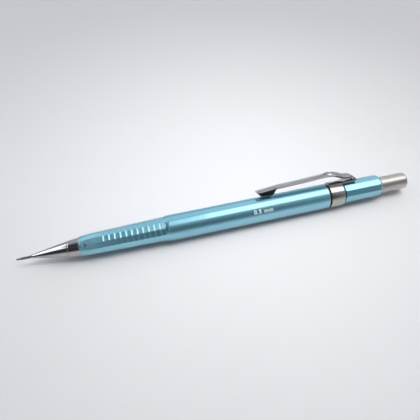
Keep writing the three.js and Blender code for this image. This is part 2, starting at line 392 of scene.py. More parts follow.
def print_white():
    """White printed ink, a little uneven in colour and shine."""
    m = Nodes("white printed ink")
    m.set(
        Base_Color=m.blend(m.noise(14.0), [(0.78, 0.84, 0.86), (0.93, 0.96, 0.97)]),
        Roughness=m.spread(m.noise(10.0), 0.35, 0.55),
    )
    return m.material


PAINT = painted_barrel()
CHROME = turned_metal(
    "bright chrome", (0.42, 0.42, 0.43), (0.48, 0.48, 0.49), (0.04, 0.08), 0.0008,
)
SATIN = turned_metal(
    "satin chrome", (0.48, 0.465, 0.43), (0.54, 0.525, 0.49), (0.28, 0.36), 0.001,
)
BAND_STEEL = turned_metal(
    "band steel", (0.44, 0.425, 0.41), (0.48, 0.465, 0.45), (0.12, 0.16), 0.0006,
)
SHEET = pressed_sheet()
# painted shade: a near-black copy of the clip steel for the lug's sides, standing for the dark
# surroundings their chrome mirrors
LUG_PAINTED_SHADE_STEEL = turned_metal(
    "lug steel painted dark as shade", (0.10, 0.09, 0.08), (0.15, 0.135, 0.12), (0.12, 0.2), 0.0008,
)
SLEEVE = turned_metal(
    "sleeve steel", (0.16, 0.155, 0.15), (0.22, 0.215, 0.21), (0.25, 0.35), 0.0008,
)
WIRE = turned_metal(
    "drawn steel wire", (0.45, 0.46, 0.47), (0.60, 0.61, 0.62), (0.25, 0.4), 0.002,
)
BRASS = turned_metal(
    "machined brass", (0.62, 0.45, 0.20), (0.78, 0.60, 0.32), (0.2, 0.36), 0.005,
)
ALUMINIUM = turned_metal(
    "ferrule metal", (0.66, 0.66, 0.67), (0.78, 0.78, 0.79), (0.25, 0.4), 0.004,
)
MILKY = moulded(
    "milky tube plastic", (0.78, 0.80, 0.79), (0.88, 0.90, 0.89), Transmission_Weight=0.35,
)
DARK_PLASTIC = moulded("dark moulded plastic", (0.035, 0.038, 0.042), (0.06, 0.064, 0.07))
# painted shade: near-black colour for the barrel's neck, so the gaps beside the band look deep and dark
NECK_PAINTED_SHADE = moulded(
    "neck painted black as gap shade", (0.006, 0.006, 0.007), (0.014, 0.014, 0.015), (0.4, 0.55),
)
VINYL = moulded(
    "white eraser vinyl", (0.80, 0.79, 0.76), (0.90, 0.89, 0.87), (0.7, 0.9), 2.0, 0.02,
)
RUBBER = moulded(
    "black rubber", (0.012, 0.012, 0.012), (0.03, 0.03, 0.03), (0.6, 0.8), 4.0, 0.01,
)
GRAPHITE = graphite()
INK = print_white()

# ---------------------------------------------------------------- barrel

SIDES = 12
SIDE = 2 * math.pi / SIDES
FACET_TURN = 6.0  # degrees from the top to the first corner
CORNER_CUT = 0.992  # how far the corners are rounded off
RIM_RADIUS = 3.42
RIM_BEVEL = 0.14
TURNED_BACK = 24.0  # where the turned nose has run out into the grip's sides
GRIP_X = [22.3, 26.0, 48.6]
GRIP_CORNER = [3.62, 3.83, 4.36]
GROOVE_FIRST = 28.75
GROOVE_PITCH = 1.9
GROOVES = 11
GROOVE_DEPTH = 0.09
GROOVE_HALF = 0.25
GROOVE_STEP = 0.06  # between the rings that draw the grooves
SHOULDER_FRONT = 48.9
SHOULDER_BACK = 51.0
SHOULDER_RADIUS = 4.12
NECK_FRONT = 109.4
NECK_BACK = 115.95
NECK_RADIUS = 3.85
NECK_EDGE = 0.12
TAIL_CORNER = 4.2
TAIL_EDGE = 0.12  # how much the tail's front edge is taken down
TAIL_EDGE_LENGTH = 0.25
TAIL_SIDE = [118, 128]  # the plain part of the tail's sides
TAIL_ROUND_X = 1.8
TAIL_HOLE = 3.4
THREAD_BORE = 2.78
THREAD_DEPTH = 27.6
CAP_WAY_FRONT = 121.2
CAP_WAY_BORE = 3.35
TUBE_WAY_BORE = 2.75
MECHANISM_BORE = 2.3
MECHANISM_BACK = 45.0


def twelve_sided(corner, turn):
    """The radius of a twelve-sided bar with slightly rounded corners, at each angle."""
    off_middle = (turn - math.radians(FACET_TURN)) % SIDE - SIDE / 2
    flat = corner * math.cos(SIDE / 2) / np.cos(off_middle)
    return np.minimum(flat, corner * CORNER_CUT)


def groove_cut(x):
    """How deep the grip's grooves cut at x."""
    nearest = round((x - GROOVE_FIRST) / GROOVE_PITCH)
    nearest = min(max(nearest, 0), GROOVES - 1)
    away = abs(x - GROOVE_FIRST - nearest * GROOVE_PITCH) / GROOVE_HALF
    if away >= 1:
        return 0.0
    return GROOVE_DEPTH * (0.5 + 0.5 * math.cos(math.pi * away)) ** 0.75


def front_turning(x):
    """The radius of the barrel's turned nose, which cuts the twelve sides off in arcs."""
    places = [BARREL_FRONT, BARREL_FRONT + 0.15, 22.2, 23.3, TURNED_BACK]
    return float(np.interp(x, places, [RIM_RADIUS - RIM_BEVEL, RIM_RADIUS, 3.48, 3.66, 3.9]))


def grip_ring(x, turn):
    """One ring of the grip: its sides and grooves, between the turned nose and the round shoulder."""
    sided = twelve_sided(float(np.interp(x, GRIP_X, GRIP_CORNER)), turn) - groove_cut(x)
    if x < TURNED_BACK:
        sided = np.minimum(sided, front_turning(x))
    if x > SHOULDER_FRONT - 0.3:
        rise = (x - SHOULDER_FRONT) / (SHOULDER_BACK - SHOULDER_FRONT)
        rise = min(max(rise, 0), 1)
        shoulder = SHOULDER_RADIUS + (BARREL_RADIUS - SHOULDER_RADIUS) * math.sin(rise * math.pi / 2)
        sided = np.maximum(sided, shoulder)
    return ring(x, sided, turn)


def tail_ring(x, turn):
    """One ring of the tail: its sides, a soft front edge and a round back edge."""
    sided = twelve_sided(TAIL_CORNER, turn)
    into_round = max(0.0, (x - (BARREL_BACK - TAIL_ROUND_X)) / TAIL_ROUND_X)
    turned_end = TAIL_HOLE + (TAIL_CORNER + 0.05 - TAIL_HOLE) * math.sqrt(max(0.0, 1 - into_round**2))
    into_front = max(0.0, 1 - (x - NECK_BACK) / TAIL_EDGE_LENGTH)
    return ring(x, np.minimum(sided, turned_end) - TAIL_EDGE * into_front**2, turn)


def barrel():
    """The whole barrel: grip, round middle, neck and tail outside, and the stepped way through it."""
    turn = angles(AROUND, FACET_TURN)
    groove_start = GROOVE_FIRST - 0.5
    groove_end = GROOVE_FIRST + (GROOVES - 1) * GROOVE_PITCH + GROOVE_HALF
    grip = [
        *np.linspace(BARREL_FRONT, TURNED_BACK, 34),
        *np.linspace(TURNED_BACK + 0.2, groove_start - 0.05, 10),
        *np.arange(groove_start, groove_end, GROOVE_STEP),
        *np.linspace(groove_end + 0.05, SHOULDER_BACK, 36),
    ]
    rings = [grip_ring(x, turn) for x in grip]
    for x in np.linspace(SHOULDER_BACK + 2, NECK_FRONT - 0.3, 24):
        rings.append(ring(x, BARREL_RADIUS, turn))
    for x, r in arc(NECK_FRONT - NECK_EDGE, BARREL_RADIUS - NECK_EDGE, NECK_EDGE, NECK_EDGE, 90, 0, 5):
        rings.append(ring(x, r, turn))
    rings.append(ring(NECK_FRONT, NECK_RADIUS, turn))
    rings.append(ring(NECK_BACK, NECK_RADIUS, turn))
    for x in [*np.linspace(NECK_BACK, NECK_BACK + 0.3, 5), *np.linspace(*TAIL_SIDE, 6)]:
        rings.append(tail_ring(x, turn))
    for swing in np.radians(np.linspace(90, 0, 16)):
        rings.append(tail_ring(BARREL_BACK - TAIL_ROUND_X * (1 - math.cos(swing)), turn))
    inside = [
        [BARREL_BACK - 0.15, CAP_WAY_BORE],
        [CAP_WAY_FRONT, CAP_WAY_BORE],
        [CAP_WAY_FRONT, TUBE_WAY_BORE],
        [MECHANISM_BACK, TUBE_WAY_BORE],
        [MECHANISM_BACK, MECHANISM_BORE],
        [THREAD_DEPTH, MECHANISM_BORE],
        [THREAD_DEPTH, THREAD_BORE],
        [BARREL_FRONT, THREAD_BORE],
    ]
    rings += [ring(x, r, turn) for x, r in inside]
    return skin("barrel", rings, True, 40)


painted = place(barrel(), "barrel", "barrel_paint", PAINT, "barrel")
painted.data.materials.append(NECK_PAINTED_SHADE)  # painted shade: the neck on both sides of the band is painted black so the gaps there read as deep shade
for face in painted.data.polygons:
    reach = along(face.center.x)
    radius = math.hypot(face.center.y - AXIS_Y, face.center.z - AXIS_Z) / MM
    if NECK_FRONT - 0.02 < reach < NECK_BACK + 0.02 and radius < TAIL_CORNER - 0.15:
        face.material_index = 1

# ---------------------------------------------------------------- printed lead size

PRINT_FRONT = 80.4
PRINT_HEIGHT = 1.5
PRINT_ANGLE = 45.5  # degrees from the top to the middle of the print
PRINT_THICK = 0.012
PRINT_GAP = 0.003  # between the paint and the print's underside
DIGIT_SHARE = 0.7  # a digit's height in the font, as a share of the font's size
SLICE = 0.15
SLICE_MARGIN = 0.6  # how far the slices go on above and below the digits


def printed_size():
    """The lead's size, printed along the barrel so that it reads with the point to the left."""
    text = bpy.data.curves.new("lead size", "FONT")
    text.body = "0.5 mm"
    text.size = PRINT_HEIGHT / DIGIT_SHARE
    text.space_character = 1.12
    text.resolution_u = 6
    text.offset = 0.004 * PRINT_HEIGHT
    flat = bpy.data.objects.new("flat print", text)
    bpy.context.scene.collection.objects.link(flat)
    bpy.context.view_layer.update()
    graph = bpy.context.evaluated_depsgraph_get()
    shape = bpy.data.meshes.new_from_object(flat.evaluated_get(graph))
    bpy.data.objects.remove(flat)
    work = bmesh.new()
    work.from_mesh(shape)
    # slices across the letters let the print follow the round barrel
    for height in np.arange(-SLICE_MARGIN, PRINT_HEIGHT + SLICE_MARGIN, SLICE):
        everything = [*work.verts, *work.edges, *work.faces]
        bmesh.ops.bisect_plane(work, geom=everything, plane_co=(0, height, 0), plane_no=(0, 1, 0))
    bmesh.ops.solidify(work, geom=list(work.faces), thickness=PRINT_THICK)
    lowest = min(v.co.z for v in work.verts)
    for v in work.verts:
        turn = math.radians(PRINT_ANGLE) - (v.co.y - PRINT_HEIGHT / 2) / BARREL_RADIUS
        radius = BARREL_RADIUS + PRINT_GAP + (v.co.z - lowest)
        x = PRINT_FRONT + v.co.x
        v.co = world([[x, -radius * math.sin(turn), radius * math.cos(turn)]])[0]
    work.to_mesh(shape)
    work.free()
    return tidy("lead_size_print", shape, 30)


place(printed_size(), "barrel", "barrel_paint", INK)

# ---------------------------------------------------------------- nose cone and point

CONE_EDGE = 0.12  # the rounding at the cone's front
CONE_TIP_RADIUS = 0.64
CONE_TAPER = 2.06  # how much thicker the cone gets up to its step
CONE_BULGE = 0.06
CONE_STEP = 16.5
CONE_GROOVE = [  # [x from the step, radius]
    [0.06, 2.6], [0.22, 2.58], [0.30, 2.6], [0.36, 2.76], [0.38, 2.79],
]
COLLAR_FRONT = CONE_STEP + 0.42
COLLAR_BACK = BARREL_FRONT - 0.15
COLLAR_RADIUS = 2.8
COLLAR_TAPER = 0.4
THREAD_BACK = CONE_BACK
THREAD_RADIUS = 2.5
THREAD_PITCH = 0.8
THREAD_HEIGHT = 0.2
CHAMBER = 1.7
CHAMBER_BACK = 2.02
RING_STOP = 17.95
RETAINER_SEAT_FRONT = 11.6
RETAINER_SEAT_BACK = 14.0
RETAINER_SEAT = 1.1
SLEEVE_SEAT = 0.49


def cone_outside():
    """The cone's outside from the sleeve to its back rim: two tapers with a fine groove between."""
    front = CONE_FRONT + CONE_EDGE
    outline = arc(front, CONE_TIP_RADIUS - CONE_EDGE, -CONE_EDGE, CONE_EDGE, 0, 90, 5)
    for t in np.linspace(0, 1, 24):
        bulge = CONE_BULGE * math.sin(math.pi * t)
        outline.append([front + t * (CONE_STEP - front), CONE_TIP_RADIUS + t * CONE_TAPER + bulge])
    outline += [[CONE_STEP + x, r] for x, r in CONE_GROOVE]
    for t in np.linspace(0, 1, 10):
        x = COLLAR_FRONT + t * (COLLAR_BACK - COLLAR_FRONT)
        outline.append([x, COLLAR_RADIUS + t * COLLAR_TAPER])
    rim = [[BARREL_FRONT - 0.06, 3.19], [BARREL_FRONT - 0.01, 3.12]]
    return outline + rim


def thread_ring(x, turn):
    """One ring of the screw thread, which is a real helix with its ends run out."""
    phase = (x / THREAD_PITCH - turn / (2 * math.pi)) * 2 * math.pi
    crest = 0.5 + 0.5 * np.cos(phase)
    run_in = max(0.0, (x - BARREL_FRONT - 0.7) / 0.5)
    run_out = max(0.0, (THREAD_BACK - 0.1 - x) / 0.4)
    run = min(1.0, run_in, run_out)
    return ring(x, THREAD_RADIUS - THREAD_HEIGHT * (1 - run * crest), turn)


def nose_cone():
    """The whole cone: outside, thread, and the stepped bore for clutch ring, rubber ring and sleeve."""
    turn = angles(AROUND)
    rings = [ring(x, r, turn) for x, r in cone_outside()]
    rings.append(ring(BARREL_FRONT - 0.01, THREAD_RADIUS - THREAD_HEIGHT, turn))
    for x in np.arange(BARREL_FRONT + 0.1, THREAD_BACK, 0.08):
        rings.append(thread_ring(x, turn))
    inside = [
        [THREAD_BACK, THREAD_RADIUS - THREAD_HEIGHT - 0.08],
        [THREAD_BACK, CHAMBER_BACK],
        [RING_STOP, CHAMBER_BACK],
        [RING_STOP, CHAMBER],
        [RETAINER_SEAT_BACK, CHAMBER - 0.3],
        [RETAINER_SEAT_BACK, RETAINER_SEAT],
        [RETAINER_SEAT_FRONT, RETAINER_SEAT],
        [RETAINER_SEAT_FRONT, SLEEVE_SEAT],
        [CONE_FRONT, SLEEVE_SEAT],
    ]
    rings += [ring(x, r, turn) for x, r in inside]
    return skin("nose_cone", rings, True, 40)


place(nose_cone(), "nose_cone", "bright_chrome", CHROME, "nose_cone")


guide_sleeve = tube("guide_sleeve", bore=0.31, radius=0.44, soft=0.07)
place(guide_sleeve, "lead_guide", "sleeve_steel", SLEEVE, "guide_sleeve")
retainer = tube("lead_retainer", bore=0.30, radius=1.05, soft=0.15)
place(retainer, "lead_guide", "black_rubber", RUBBER, "lead_retainer")


def lead_stick(name, node, worn):
    """A stick of lead. The tip of a worn one is rounded by writing."""
    front, back = span(node)
    low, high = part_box(node)
    middle = ((low.y + high.y) / 2 - AXIS_Y) / MM, ((low.z + high.z) / 2 - AXIS_Z) / MM
    tip = [[front, 0.23], [front + 0.02, LEAD_RADIUS]]
    if worn:
        tip = [[front, 0.15], [front + 0.04, 0.2], [front + 0.14, 0.245]]
    outline = [*tip, [front + 0.3, LEAD_RADIUS], [back - 0.02, LEAD_RADIUS], [back, 0.23]]
    return turned_bar(name, outline, AROUND_LEAD, middle, 50)


place(lead_stick("lead", "lead", True), "lead", "graphite", GRAPHITE, "lead")
for number in (1, 2, 3):
    spare = f"spare_lead_{number}"
    place(lead_stick(spare, spare, False), "spare_leads", "graphite", GRAPHITE, spare)

# ---------------------------------------------------------------- clutch, spring and reservoir

# the jaws keep their CAD shape and only get their metal
for number in (1, 2, 3):
    jaw = frame["nodes"][f"chuck_jaw_{number}"]
    jaw.data.materials.clear()
    jaw.data.materials.append(BRASS)

CLUTCH_RING_RADIUS = 1.9
CLUTCH_RING_MOUTH = 1.41  # its bore at the front, which narrows to the back
CLUTCH_RING_BORE = 1.2
ring_front, ring_back = span("clutch_ring")
place(
    turned("clutch_ring", [
        [ring_front, CLUTCH_RING_MOUTH],
        [ring_front, CLUTCH_RING_RADIUS],
        [ring_back, CLUTCH_RING_RADIUS],
        [ring_back, CLUTCH_RING_BORE],
    ], AROUND_SMALL, 0.12),
    "clutch_ring", "brass", BRASS, "clutch_ring",
)

stem = tube("chuck_stem", bore=0.42, radius=0.95, soft=0.08)
place(stem, "lead_carrier", "brass", BRASS, "chuck_stem")

HOUSING_BORE = 1.22
HOUSING_RADIUS = 1.9
FLANGE_FRONT = 26.3
FLANGE_BACK = 27.3
FLANGE_RADIUS = 2.55
housing_front, housing_back = span("chuck_housing")
place(
    turned("chuck_housing", [
        [housing_front, HOUSING_BORE],
        [housing_front, HOUSING_RADIUS],
        [FLANGE_FRONT, HOUSING_RADIUS],
        [FLANGE_FRONT, FLANGE_RADIUS],
        [FLANGE_BACK, FLANGE_RADIUS],
        [FLANGE_BACK, HOUSING_RADIUS],
        [housing_back, HOUSING_RADIUS],
        [housing_back, HOUSING_BORE],
    ], AROUND_SMALL, 0.1),
    "barrel", "dark_plastic", DARK_PLASTIC, "chuck_housing",
)

COILS = 10
CLOSED_COILS = 1.2  # at each end
COIL_RADIUS = 1.5
WIRE_RADIUS = 0.18
STEPS_PER_COIL = 28
WIRE_SIDES = 12


def return_spring(front, back):
    """A helix of round wire with its end turns closed up."""
    t = np.linspace(0, 1, COILS * STEPS_PER_COIL + 1)
    turn = t * COILS * 2 * math.pi
    closed = CLOSED_COILS / COILS
    closed_length = CLOSED_COILS * 2 * WIRE_RADIUS * 1.02
    length = back - front - 2 * WIRE_RADIUS
    shares = [0, closed, 1 - closed, 1]
    x = np.interp(t, shares, [0, closed_length, length - closed_length, length])
    middle = np.column_stack([
        front + WIRE_RADIUS + x, -COIL_RADIUS * np.sin(turn), COIL_RADIUS * np.cos(turn),
    ])
    forward = np.gradient(middle, axis=0)
    forward /= np.linalg.norm(forward, axis=1)[:, None]
    outward = np.column_stack([np.zeros_like(turn), -np.sin(turn), np.cos(turn)])
    across = np.cross(forward, outward)
    swing = angles(WIRE_SIDES)
    rings = []
    for m, o, a in zip(middle, outward, across):
        rings.append(m + WIRE_RADIUS * (np.outer(np.cos(swing), o) + np.outer(np.sin(swing), a)))
    return skin("return_spring", rings, False, 60)


spring_front, spring_back = span("return_spring")
spring = place(
    return_spring(spring_front, spring_back), "barrel", "spring_steel", WIRE, "return_spring",
)
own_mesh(spring)

TUBE_RADIUS = 2.2
TUBE_BORE = 1.78
STEM_SOCKET = 1.0  # the narrow bore in front, which takes the stem
TUBE_THROAT = [57.5, 59.0]  # where the narrow bore widens into the wide one
tube_front, tube_back = span("reservoir_tube")
place(
    turned("reservoir_tube", [
        [tube_front, STEM_SOCKET],
        [tube_front, TUBE_RADIUS - 0.2],
        [tube_front + 0.4, TUBE_RADIUS],
        [tube_back, TUBE_RADIUS],
        [tube_back, TUBE_BORE],
        [TUBE_THROAT[1], TUBE_BORE],
        [TUBE_THROAT[0], STEM_SOCKET],
    ], AROUND_SMALL, 0.12),
    "lead_carrier", "tube_plastic", MILKY, "reservoir_tube",
)

# ---------------------------------------------------------------- eraser and push cap

FERRULE_BORE = 1.47
FERRULE_RADIUS = 1.67
LIP_FRONT = 133.8
LIP_BACK = LIP_FRONT + 0.5
LIP_RADIUS = 2.2
ferrule_front, ferrule_back = span("eraser_ferrule")
place(
    turned("eraser_ferrule", [
        [ferrule_front, FERRULE_BORE],
        [ferrule_front, FERRULE_RADIUS],
        [LIP_FRONT, FERRULE_RADIUS],
        [LIP_FRONT, LIP_RADIUS],
        [LIP_BACK, LIP_RADIUS],
        [LIP_BACK, FERRULE_RADIUS],
        [ferrule_back, FERRULE_RADIUS],
        [ferrule_back, FERRULE_BORE],
    ], AROUND_SMALL, 0.07),
    "eraser", "ferrule_metal", ALUMINIUM, "eraser_ferrule",
)

ERASER_RADIUS = 1.42
ERASER_ROUND = 0.35
eraser_front, eraser_back = span("eraser")
place(
    turned_bar("eraser", [
        [eraser_front, ERASER_RADIUS - 0.1],
        [eraser_front + 0.1, ERASER_RADIUS],
        [eraser_back - 0.4, ERASER_RADIUS],
        *arc(
            eraser_back - ERASER_ROUND, ERASER_RADIUS - ERASER_ROUND,
            ERASER_ROUND, ERASER_ROUND, 80, 10, 6,
        ),
        [eraser_back, 0.6],
    ], AROUND_SMALL, (0.0, 0.0), 50),
    "eraser", "eraser_rubber", VINYL, "eraser",
)

NEEDLE_RADIUS = 0.2
NEEDLE_HEAD_LENGTH = 1.0
NEEDLE_HEAD_RADIUS = 1.4
needle_front, needle_back = span("cleaning_needle")
head_front = needle_back - NEEDLE_HEAD_LENGTH
place(
    turned_bar("cleaning_needle", [
        [needle_front, NEEDLE_RADIUS - 0.12],
        [needle_front + 0.12, NEEDLE_RADIUS - 0.04],
        [needle_front + 0.4, NEEDLE_RADIUS],
        [head_front - 0.1, NEEDLE_RADIUS],
        [head_front, NEEDLE_RADIUS + 0.1],
        [head_front + 0.02, NEEDLE_HEAD_RADIUS - 0.1],
        [head_front + 0.1, NEEDLE_HEAD_RADIUS],
        [needle_back - 0.1, NEEDLE_HEAD_RADIUS],
        [needle_back, NEEDLE_HEAD_RADIUS - 0.1],
    ], AROUND_SMALL, (0.0, 0.0), 40),
    "eraser", "spring_steel", WIRE, "cleaning_needle",
)

CAP_ROUND = 0.95
CAP_BORE = 2.5
CAP_WALL = 0.8
AXIS_HOLE = 0.02  # the pin-prick that a turned end leaves on the axis until it is closed


def push_cap():
    """A drawn metal cap: straight side, rounded edge, and an end that is a little domed."""
    turn = angles(AROUND)
    outside = [
        [CAP_FRONT, CAP_RADIUS - 0.1],
        [CAP_FRONT + 0.08, CAP_RADIUS - 0.02],
        [CAP_FRONT + 0.2, CAP_RADIUS],
    ]
    outside += [[x, CAP_RADIUS] for x in np.linspace(CAP_FRONT + 1, CAP_BACK - CAP_ROUND - 0.2, 10)]
    outside += arc(CAP_BACK - CAP_ROUND - 0.04, CAP_RADIUS - CAP_ROUND, CAP_ROUND, CAP_ROUND, 90, 4, 12)
    outside += [[CAP_BACK - 0.02, 1.5], [CAP_BACK, 0.6], [CAP_BACK, AXIS_HOLE]]
    inside = [
        [CAP_BACK - CAP_WALL, AXIS_HOLE],
        [CAP_BACK - CAP_WALL, CAP_BORE - 0.2],
        [CAP_BACK - CAP_WALL - 0.2, CAP_BORE],
        [CAP_FRONT, CAP_BORE],
    ]
    rings = [ring(x, r, turn) for x, r in outside + inside]
    shell = skin("push_cap", rings, True, 40)
    close_holes(shell)
    return shell


def close_holes(piece):
    """Joins the points round the pin-prick on the axis at the middle of a turned end."""
    work = bmesh.new()
    work.from_mesh(piece.data)
    reach = 1.5 * AXIS_HOLE * MM
    near = [v for v in work.verts if math.hypot(v.co.y - AXIS_Y, v.co.z - AXIS_Z) < reach]
    bmesh.ops.remove_doubles(work, verts=near, dist=2.5 * AXIS_HOLE * MM)
    work.to_mesh(piece.data)
    work.free()


place(push_cap(), "push_cap", "satin_chrome", SATIN, "push_cap")

# ---------------------------------------------------------------- pocket clip

CLIP_TILT = math.radians(30)
CLIP_WIDTH = 4.0
SHEET_THICK = 0.4
BAND_RADIUS = 4.57
BAND_BORE = 4.28
ARM_LINE = [  # the arm's middle: [x, height over the axis] from its tip back and down round the fold
    [ARM_TIP, 6.85], [88.0, 7.28], [92.0, 7.52], [99.0, 7.73], [104.0, 7.96], [109.0, 8.22],
    [111.3, 8.12], [112.8, 7.92], [114.3, 7.45], [115.6, 6.95], [116.9, 6.7], [118.3, 6.62],
    [119.6, 6.3], [120.6, 5.7], [121.15, 5.15], [121.3, 4.8], [121.05, 4.5],
]
SADDLE_FRONT = 110.45
SADDLE_BACK = 120.7
SADDLE_TOP = 4.95
SADDLE_BOTTOM = 4.58
SADDLE_FLAT = 4.75
SADDLE_EDGE = 0.08  # how much its ends are taken down
CROWN_SHARES = 25  # points across the strip
CROWN_FOOT = 0.96  # where a steep crown starts, as a share of half the width
CROWN_SIDE = 0.5  # the width of its steep side, in the same share
HUMP_CROWN = [  # [x, how much the arm's middle stands up there]
    [109.0, 0.0], [109.8, 0.4], [110.6, 0.62], [111.4, 0.7], [112.5, 0.78],
    [114.5, 0.78], [116.5, 0.62], [118.3, 0.5], [119.8, 0.25], [120.8, 0.0],
]
TIP_ROUND = 0.5  # length and depth of the rounding at the arm's tip


def lean(points):
    """Turns points from the clip's own frame, with its height along z, into the pencil's."""
    p = np.asarray(points, float)
    y = p[:, 1] * math.cos(CLIP_TILT) + p[:, 2] * math.sin(CLIP_TILT)
    z = -p[:, 1] * math.sin(CLIP_TILT) + p[:, 2] * math.cos(CLIP_TILT)
    return np.column_stack([p[:, 0], y, z])


def strip_section(width, thick, drop, crown, flat, edge=0.16):
    """Turned-down edges and a crowned top: a closed loop of [across, out] points round the sheet.

    flat runs from 0 for a round crown to 1 for one that is level in the middle and steep at its sides.
    """
    half = width / 2
    drop = max(drop, thick + 0.01)
    share = np.linspace(-1, 1, CROWN_SHARES)
    side = np.clip((CROWN_FOOT - np.abs(share)) / CROWN_SIDE, 0, 1)
    level = side * side * (3 - 2 * side)
    rise = crown * ((1 - flat) * (1 - share**2) + flat * level)
    top = [[s * (half - edge), r] for s, r in zip(share, rise)]
    left = [[-half, -drop], [-half, -edge], [-half + 0.3 * edge, -0.3 * edge]]
    right = [[half - 0.3 * edge, -0.3 * edge], [half, -edge], [half, -drop]]
    inner_half = half - thick
    below = [[s * inner_half, -thick + r] for s, r in zip(share[::-1], rise[::-1])]
    return left + top + right + [[inner_half, -drop]] + below + [[-inner_half, -drop]]


def strip(name, line, width_at, drop_at, crown_at, flat_at, step=0.3):
    """A pressed strip of sheet that follows a line of [x, height] points."""
    path = smooth_path(line, step)
    forward = np.gradient(path, axis=0)
    forward /= np.linalg.norm(forward, axis=1)[:, None]
    rings = []
    for (x, h), (fx, fh) in zip(path, forward):
        section = strip_section(width_at(x), SHEET_THICK, drop_at(x), crown_at(x), flat_at(x))
        rings.append(lean([[x - fh * out, across, h + fx * out] for across, out in section]))
    return skin(name, rings, False, 50)


LUG_FRONT = ARM_TIP + 0.35
LUG_BACK = 90.6
LUG_FLARE = 0.2  # how far its sides lean out
ARM_WAIST = 0.6  # how much narrower the arm is over the lug


def arm_width(x):
    """The arm's width: round at the tip, narrow over the lug, wider at the hump, less at the fold."""
    into_tip = max(0.0, (ARM_TIP + TIP_ROUND - x) / TIP_ROUND)
    tip = TIP_ROUND * (1 - math.sqrt(max(0.0, 1 - into_tip**2)))
    fold = float(np.interp(x, [119.5, 121.3], [0, 0.5]))
    waist = float(np.interp(x, [LUG_BACK - 1.2, LUG_BACK + 1], [ARM_WAIST, 0]))
    hump = float(np.interp(x, [109, 112, 118, 120], [0, 0.4, 0.4, 0]))
    return CLIP_WIDTH - tip - fold - waist + hump


def arm_drop(x):
    """How far the arm's edges turn down: most from the hump to the fold."""
    return float(np.interp(x, [111.5, 113.5, 115, 118.5, 120, 121.2], [0.4, 0.7, 0.8, 0.8, 0.8, 0]))


def arm_crown(x):
    """How much higher the arm's middle is than its edges: a shallow bow, and a round hump."""
    places, heights = zip(*HUMP_CROWN)
    return 0.08 + float(np.interp(x, places, heights))


def arm_flat(x):
    """Where the arm's crown is level with steep sides: only at the start of the hump."""
    return float(np.interp(x, [108.8, 109.2, 111.0, 112.2], [0, 1, 1, 0]))


LUG_LINE = [  # the lug's bottom edge
    [LUG_FRONT, 6.4], [LUG_FRONT + 0.3, 5.8], [LUG_FRONT + 1.0, 5.25], [LUG_FRONT + 2.6, 5.0],
    [LUG_FRONT + 4.6, 4.9], [LUG_FRONT + 5.6, 5.4], [LUG_FRONT + 6.2, 6.1], [LUG_BACK, 7.2],
]


def lug():
    """The boat-shaped contact folded down under the arm's tip: flared sides and a rounded bottom."""
    rings = []
    for x, bottom in smooth_path(LUG_LINE, 0.15):
        arm_middle = float(np.interp(x, [ARM_TIP, 88, 92], [6.9, 7.35, 7.6]))
        top = arm_middle - SHEET_THICK / 2
        bottom = min(bottom, top - 0.05)
        upper = (CLIP_WIDTH - ARM_WAIST) / 2 - 0.1 - 0.3 * max(0.0, 1 - (x - LUG_FRONT) / 1.2) ** 2
        half = upper + LUG_FLARE * (top - bottom)
        soft = min(0.5, 0.45 * (top - bottom))
        corner = np.radians(np.linspace(0, 90, 6))
        right = [[half - soft + soft * math.cos(c), bottom + soft - soft * math.sin(c)] for c in corner]
        left = [[-y, z] for y, z in right[::-1]]
        loop = [[upper, top], *right, *left, [-upper, top]]
        rings.append(lean([[x, y, z] for y, z in loop]))
    return skin("clip_lug", rings, False, 40)


def merge(pieces, name):
    """Joins pieces into one mesh object."""
    work = bmesh.new()
    for piece in pieces:
        work.from_mesh(piece.data)
        bpy.data.objects.remove(piece)
    mesh = bpy.data.meshes.new(name)
    work.to_mesh(mesh)
    work.free()
    mesh.shade_smooth()
    mesh.set_sharp_from_angle(angle=math.radians(45))
    whole = bpy.data.objects.new(name, mesh)
    bpy.context.scene.collection.objects.link(whole)
    return whole


strip_piece = strip("arm_strip", ARM_LINE, arm_width, arm_drop, arm_crown, arm_flat)
strip_faces = len(strip_piece.data.polygons)
arm = merge([strip_piece, lug()], "clip_arm")
place(arm, None, "clip_steel", SHEET, "clip_arm")
arm.data.materials.append(LUG_PAINTED_SHADE_STEEL)
# the lug's sides get steel painted dark as shade, for the dark surroundings their chrome would mirror;
# only its bottom and front keep the bright sheet
for face in arm.data.polygons[strip_faces:]:
    down = face.normal.z * math.cos(CLIP_TILT) + face.normal.y * math.sin(CLIP_TILT)
    if down > -0.6 and face.normal.x > -0.55:
        face.material_index = 1
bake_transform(arm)


def saddle():
    """The plate on the band: curved like it there, then flat, and on to below the arm's fold."""
    reach = math.asin(CLIP_WIDTH / 2 / SADDLE_TOP)
    swing = np.linspace(-reach, reach, 17)
    rings = []
    for x in [SADDLE_FRONT, *np.linspace(SADDLE_FRONT + 0.1, SADDLE_BACK - 0.1, 24), SADDLE_BACK]:
        sunk = SADDLE_EDGE if x in (SADDLE_FRONT, SADDLE_BACK) else 0.0
        flat = float(np.interp(x, [BAND_BACK - 0.6, BAND_BACK + 1.2], [0, 1]))
        loop = []
        for t in swing:
            curved = SADDLE_TOP * math.cos(t)
            loop.append([SADDLE_TOP * math.sin(t), curved + flat * (SADDLE_FLAT - curved) - sunk])
        for t in swing[::-1]:
            loop.append([SADDLE_TOP * math.sin(t), SADDLE_BOTTOM * math.cos(t)])
        rings.append(lean([[x, y, z] for y, z in loop]))
    return skin("clip_saddle", rings, False, 40)


place(saddle(), "clip", "clip_steel", SHEET)
place(
    turned("clip_band", [
        [BAND_FRONT, BAND_BORE],
        [BAND_FRONT, BAND_RADIUS],
        [BAND_BACK, BAND_RADIUS],
        [BAND_BACK, BAND_BORE],
    ], AROUND, 0.09),
    "clip", "clip_steel", BAND_STEEL, "clip_band",
)

# ---------------------------------------------------------------- table, light and camera

FLOOR_SIZE = 3.0


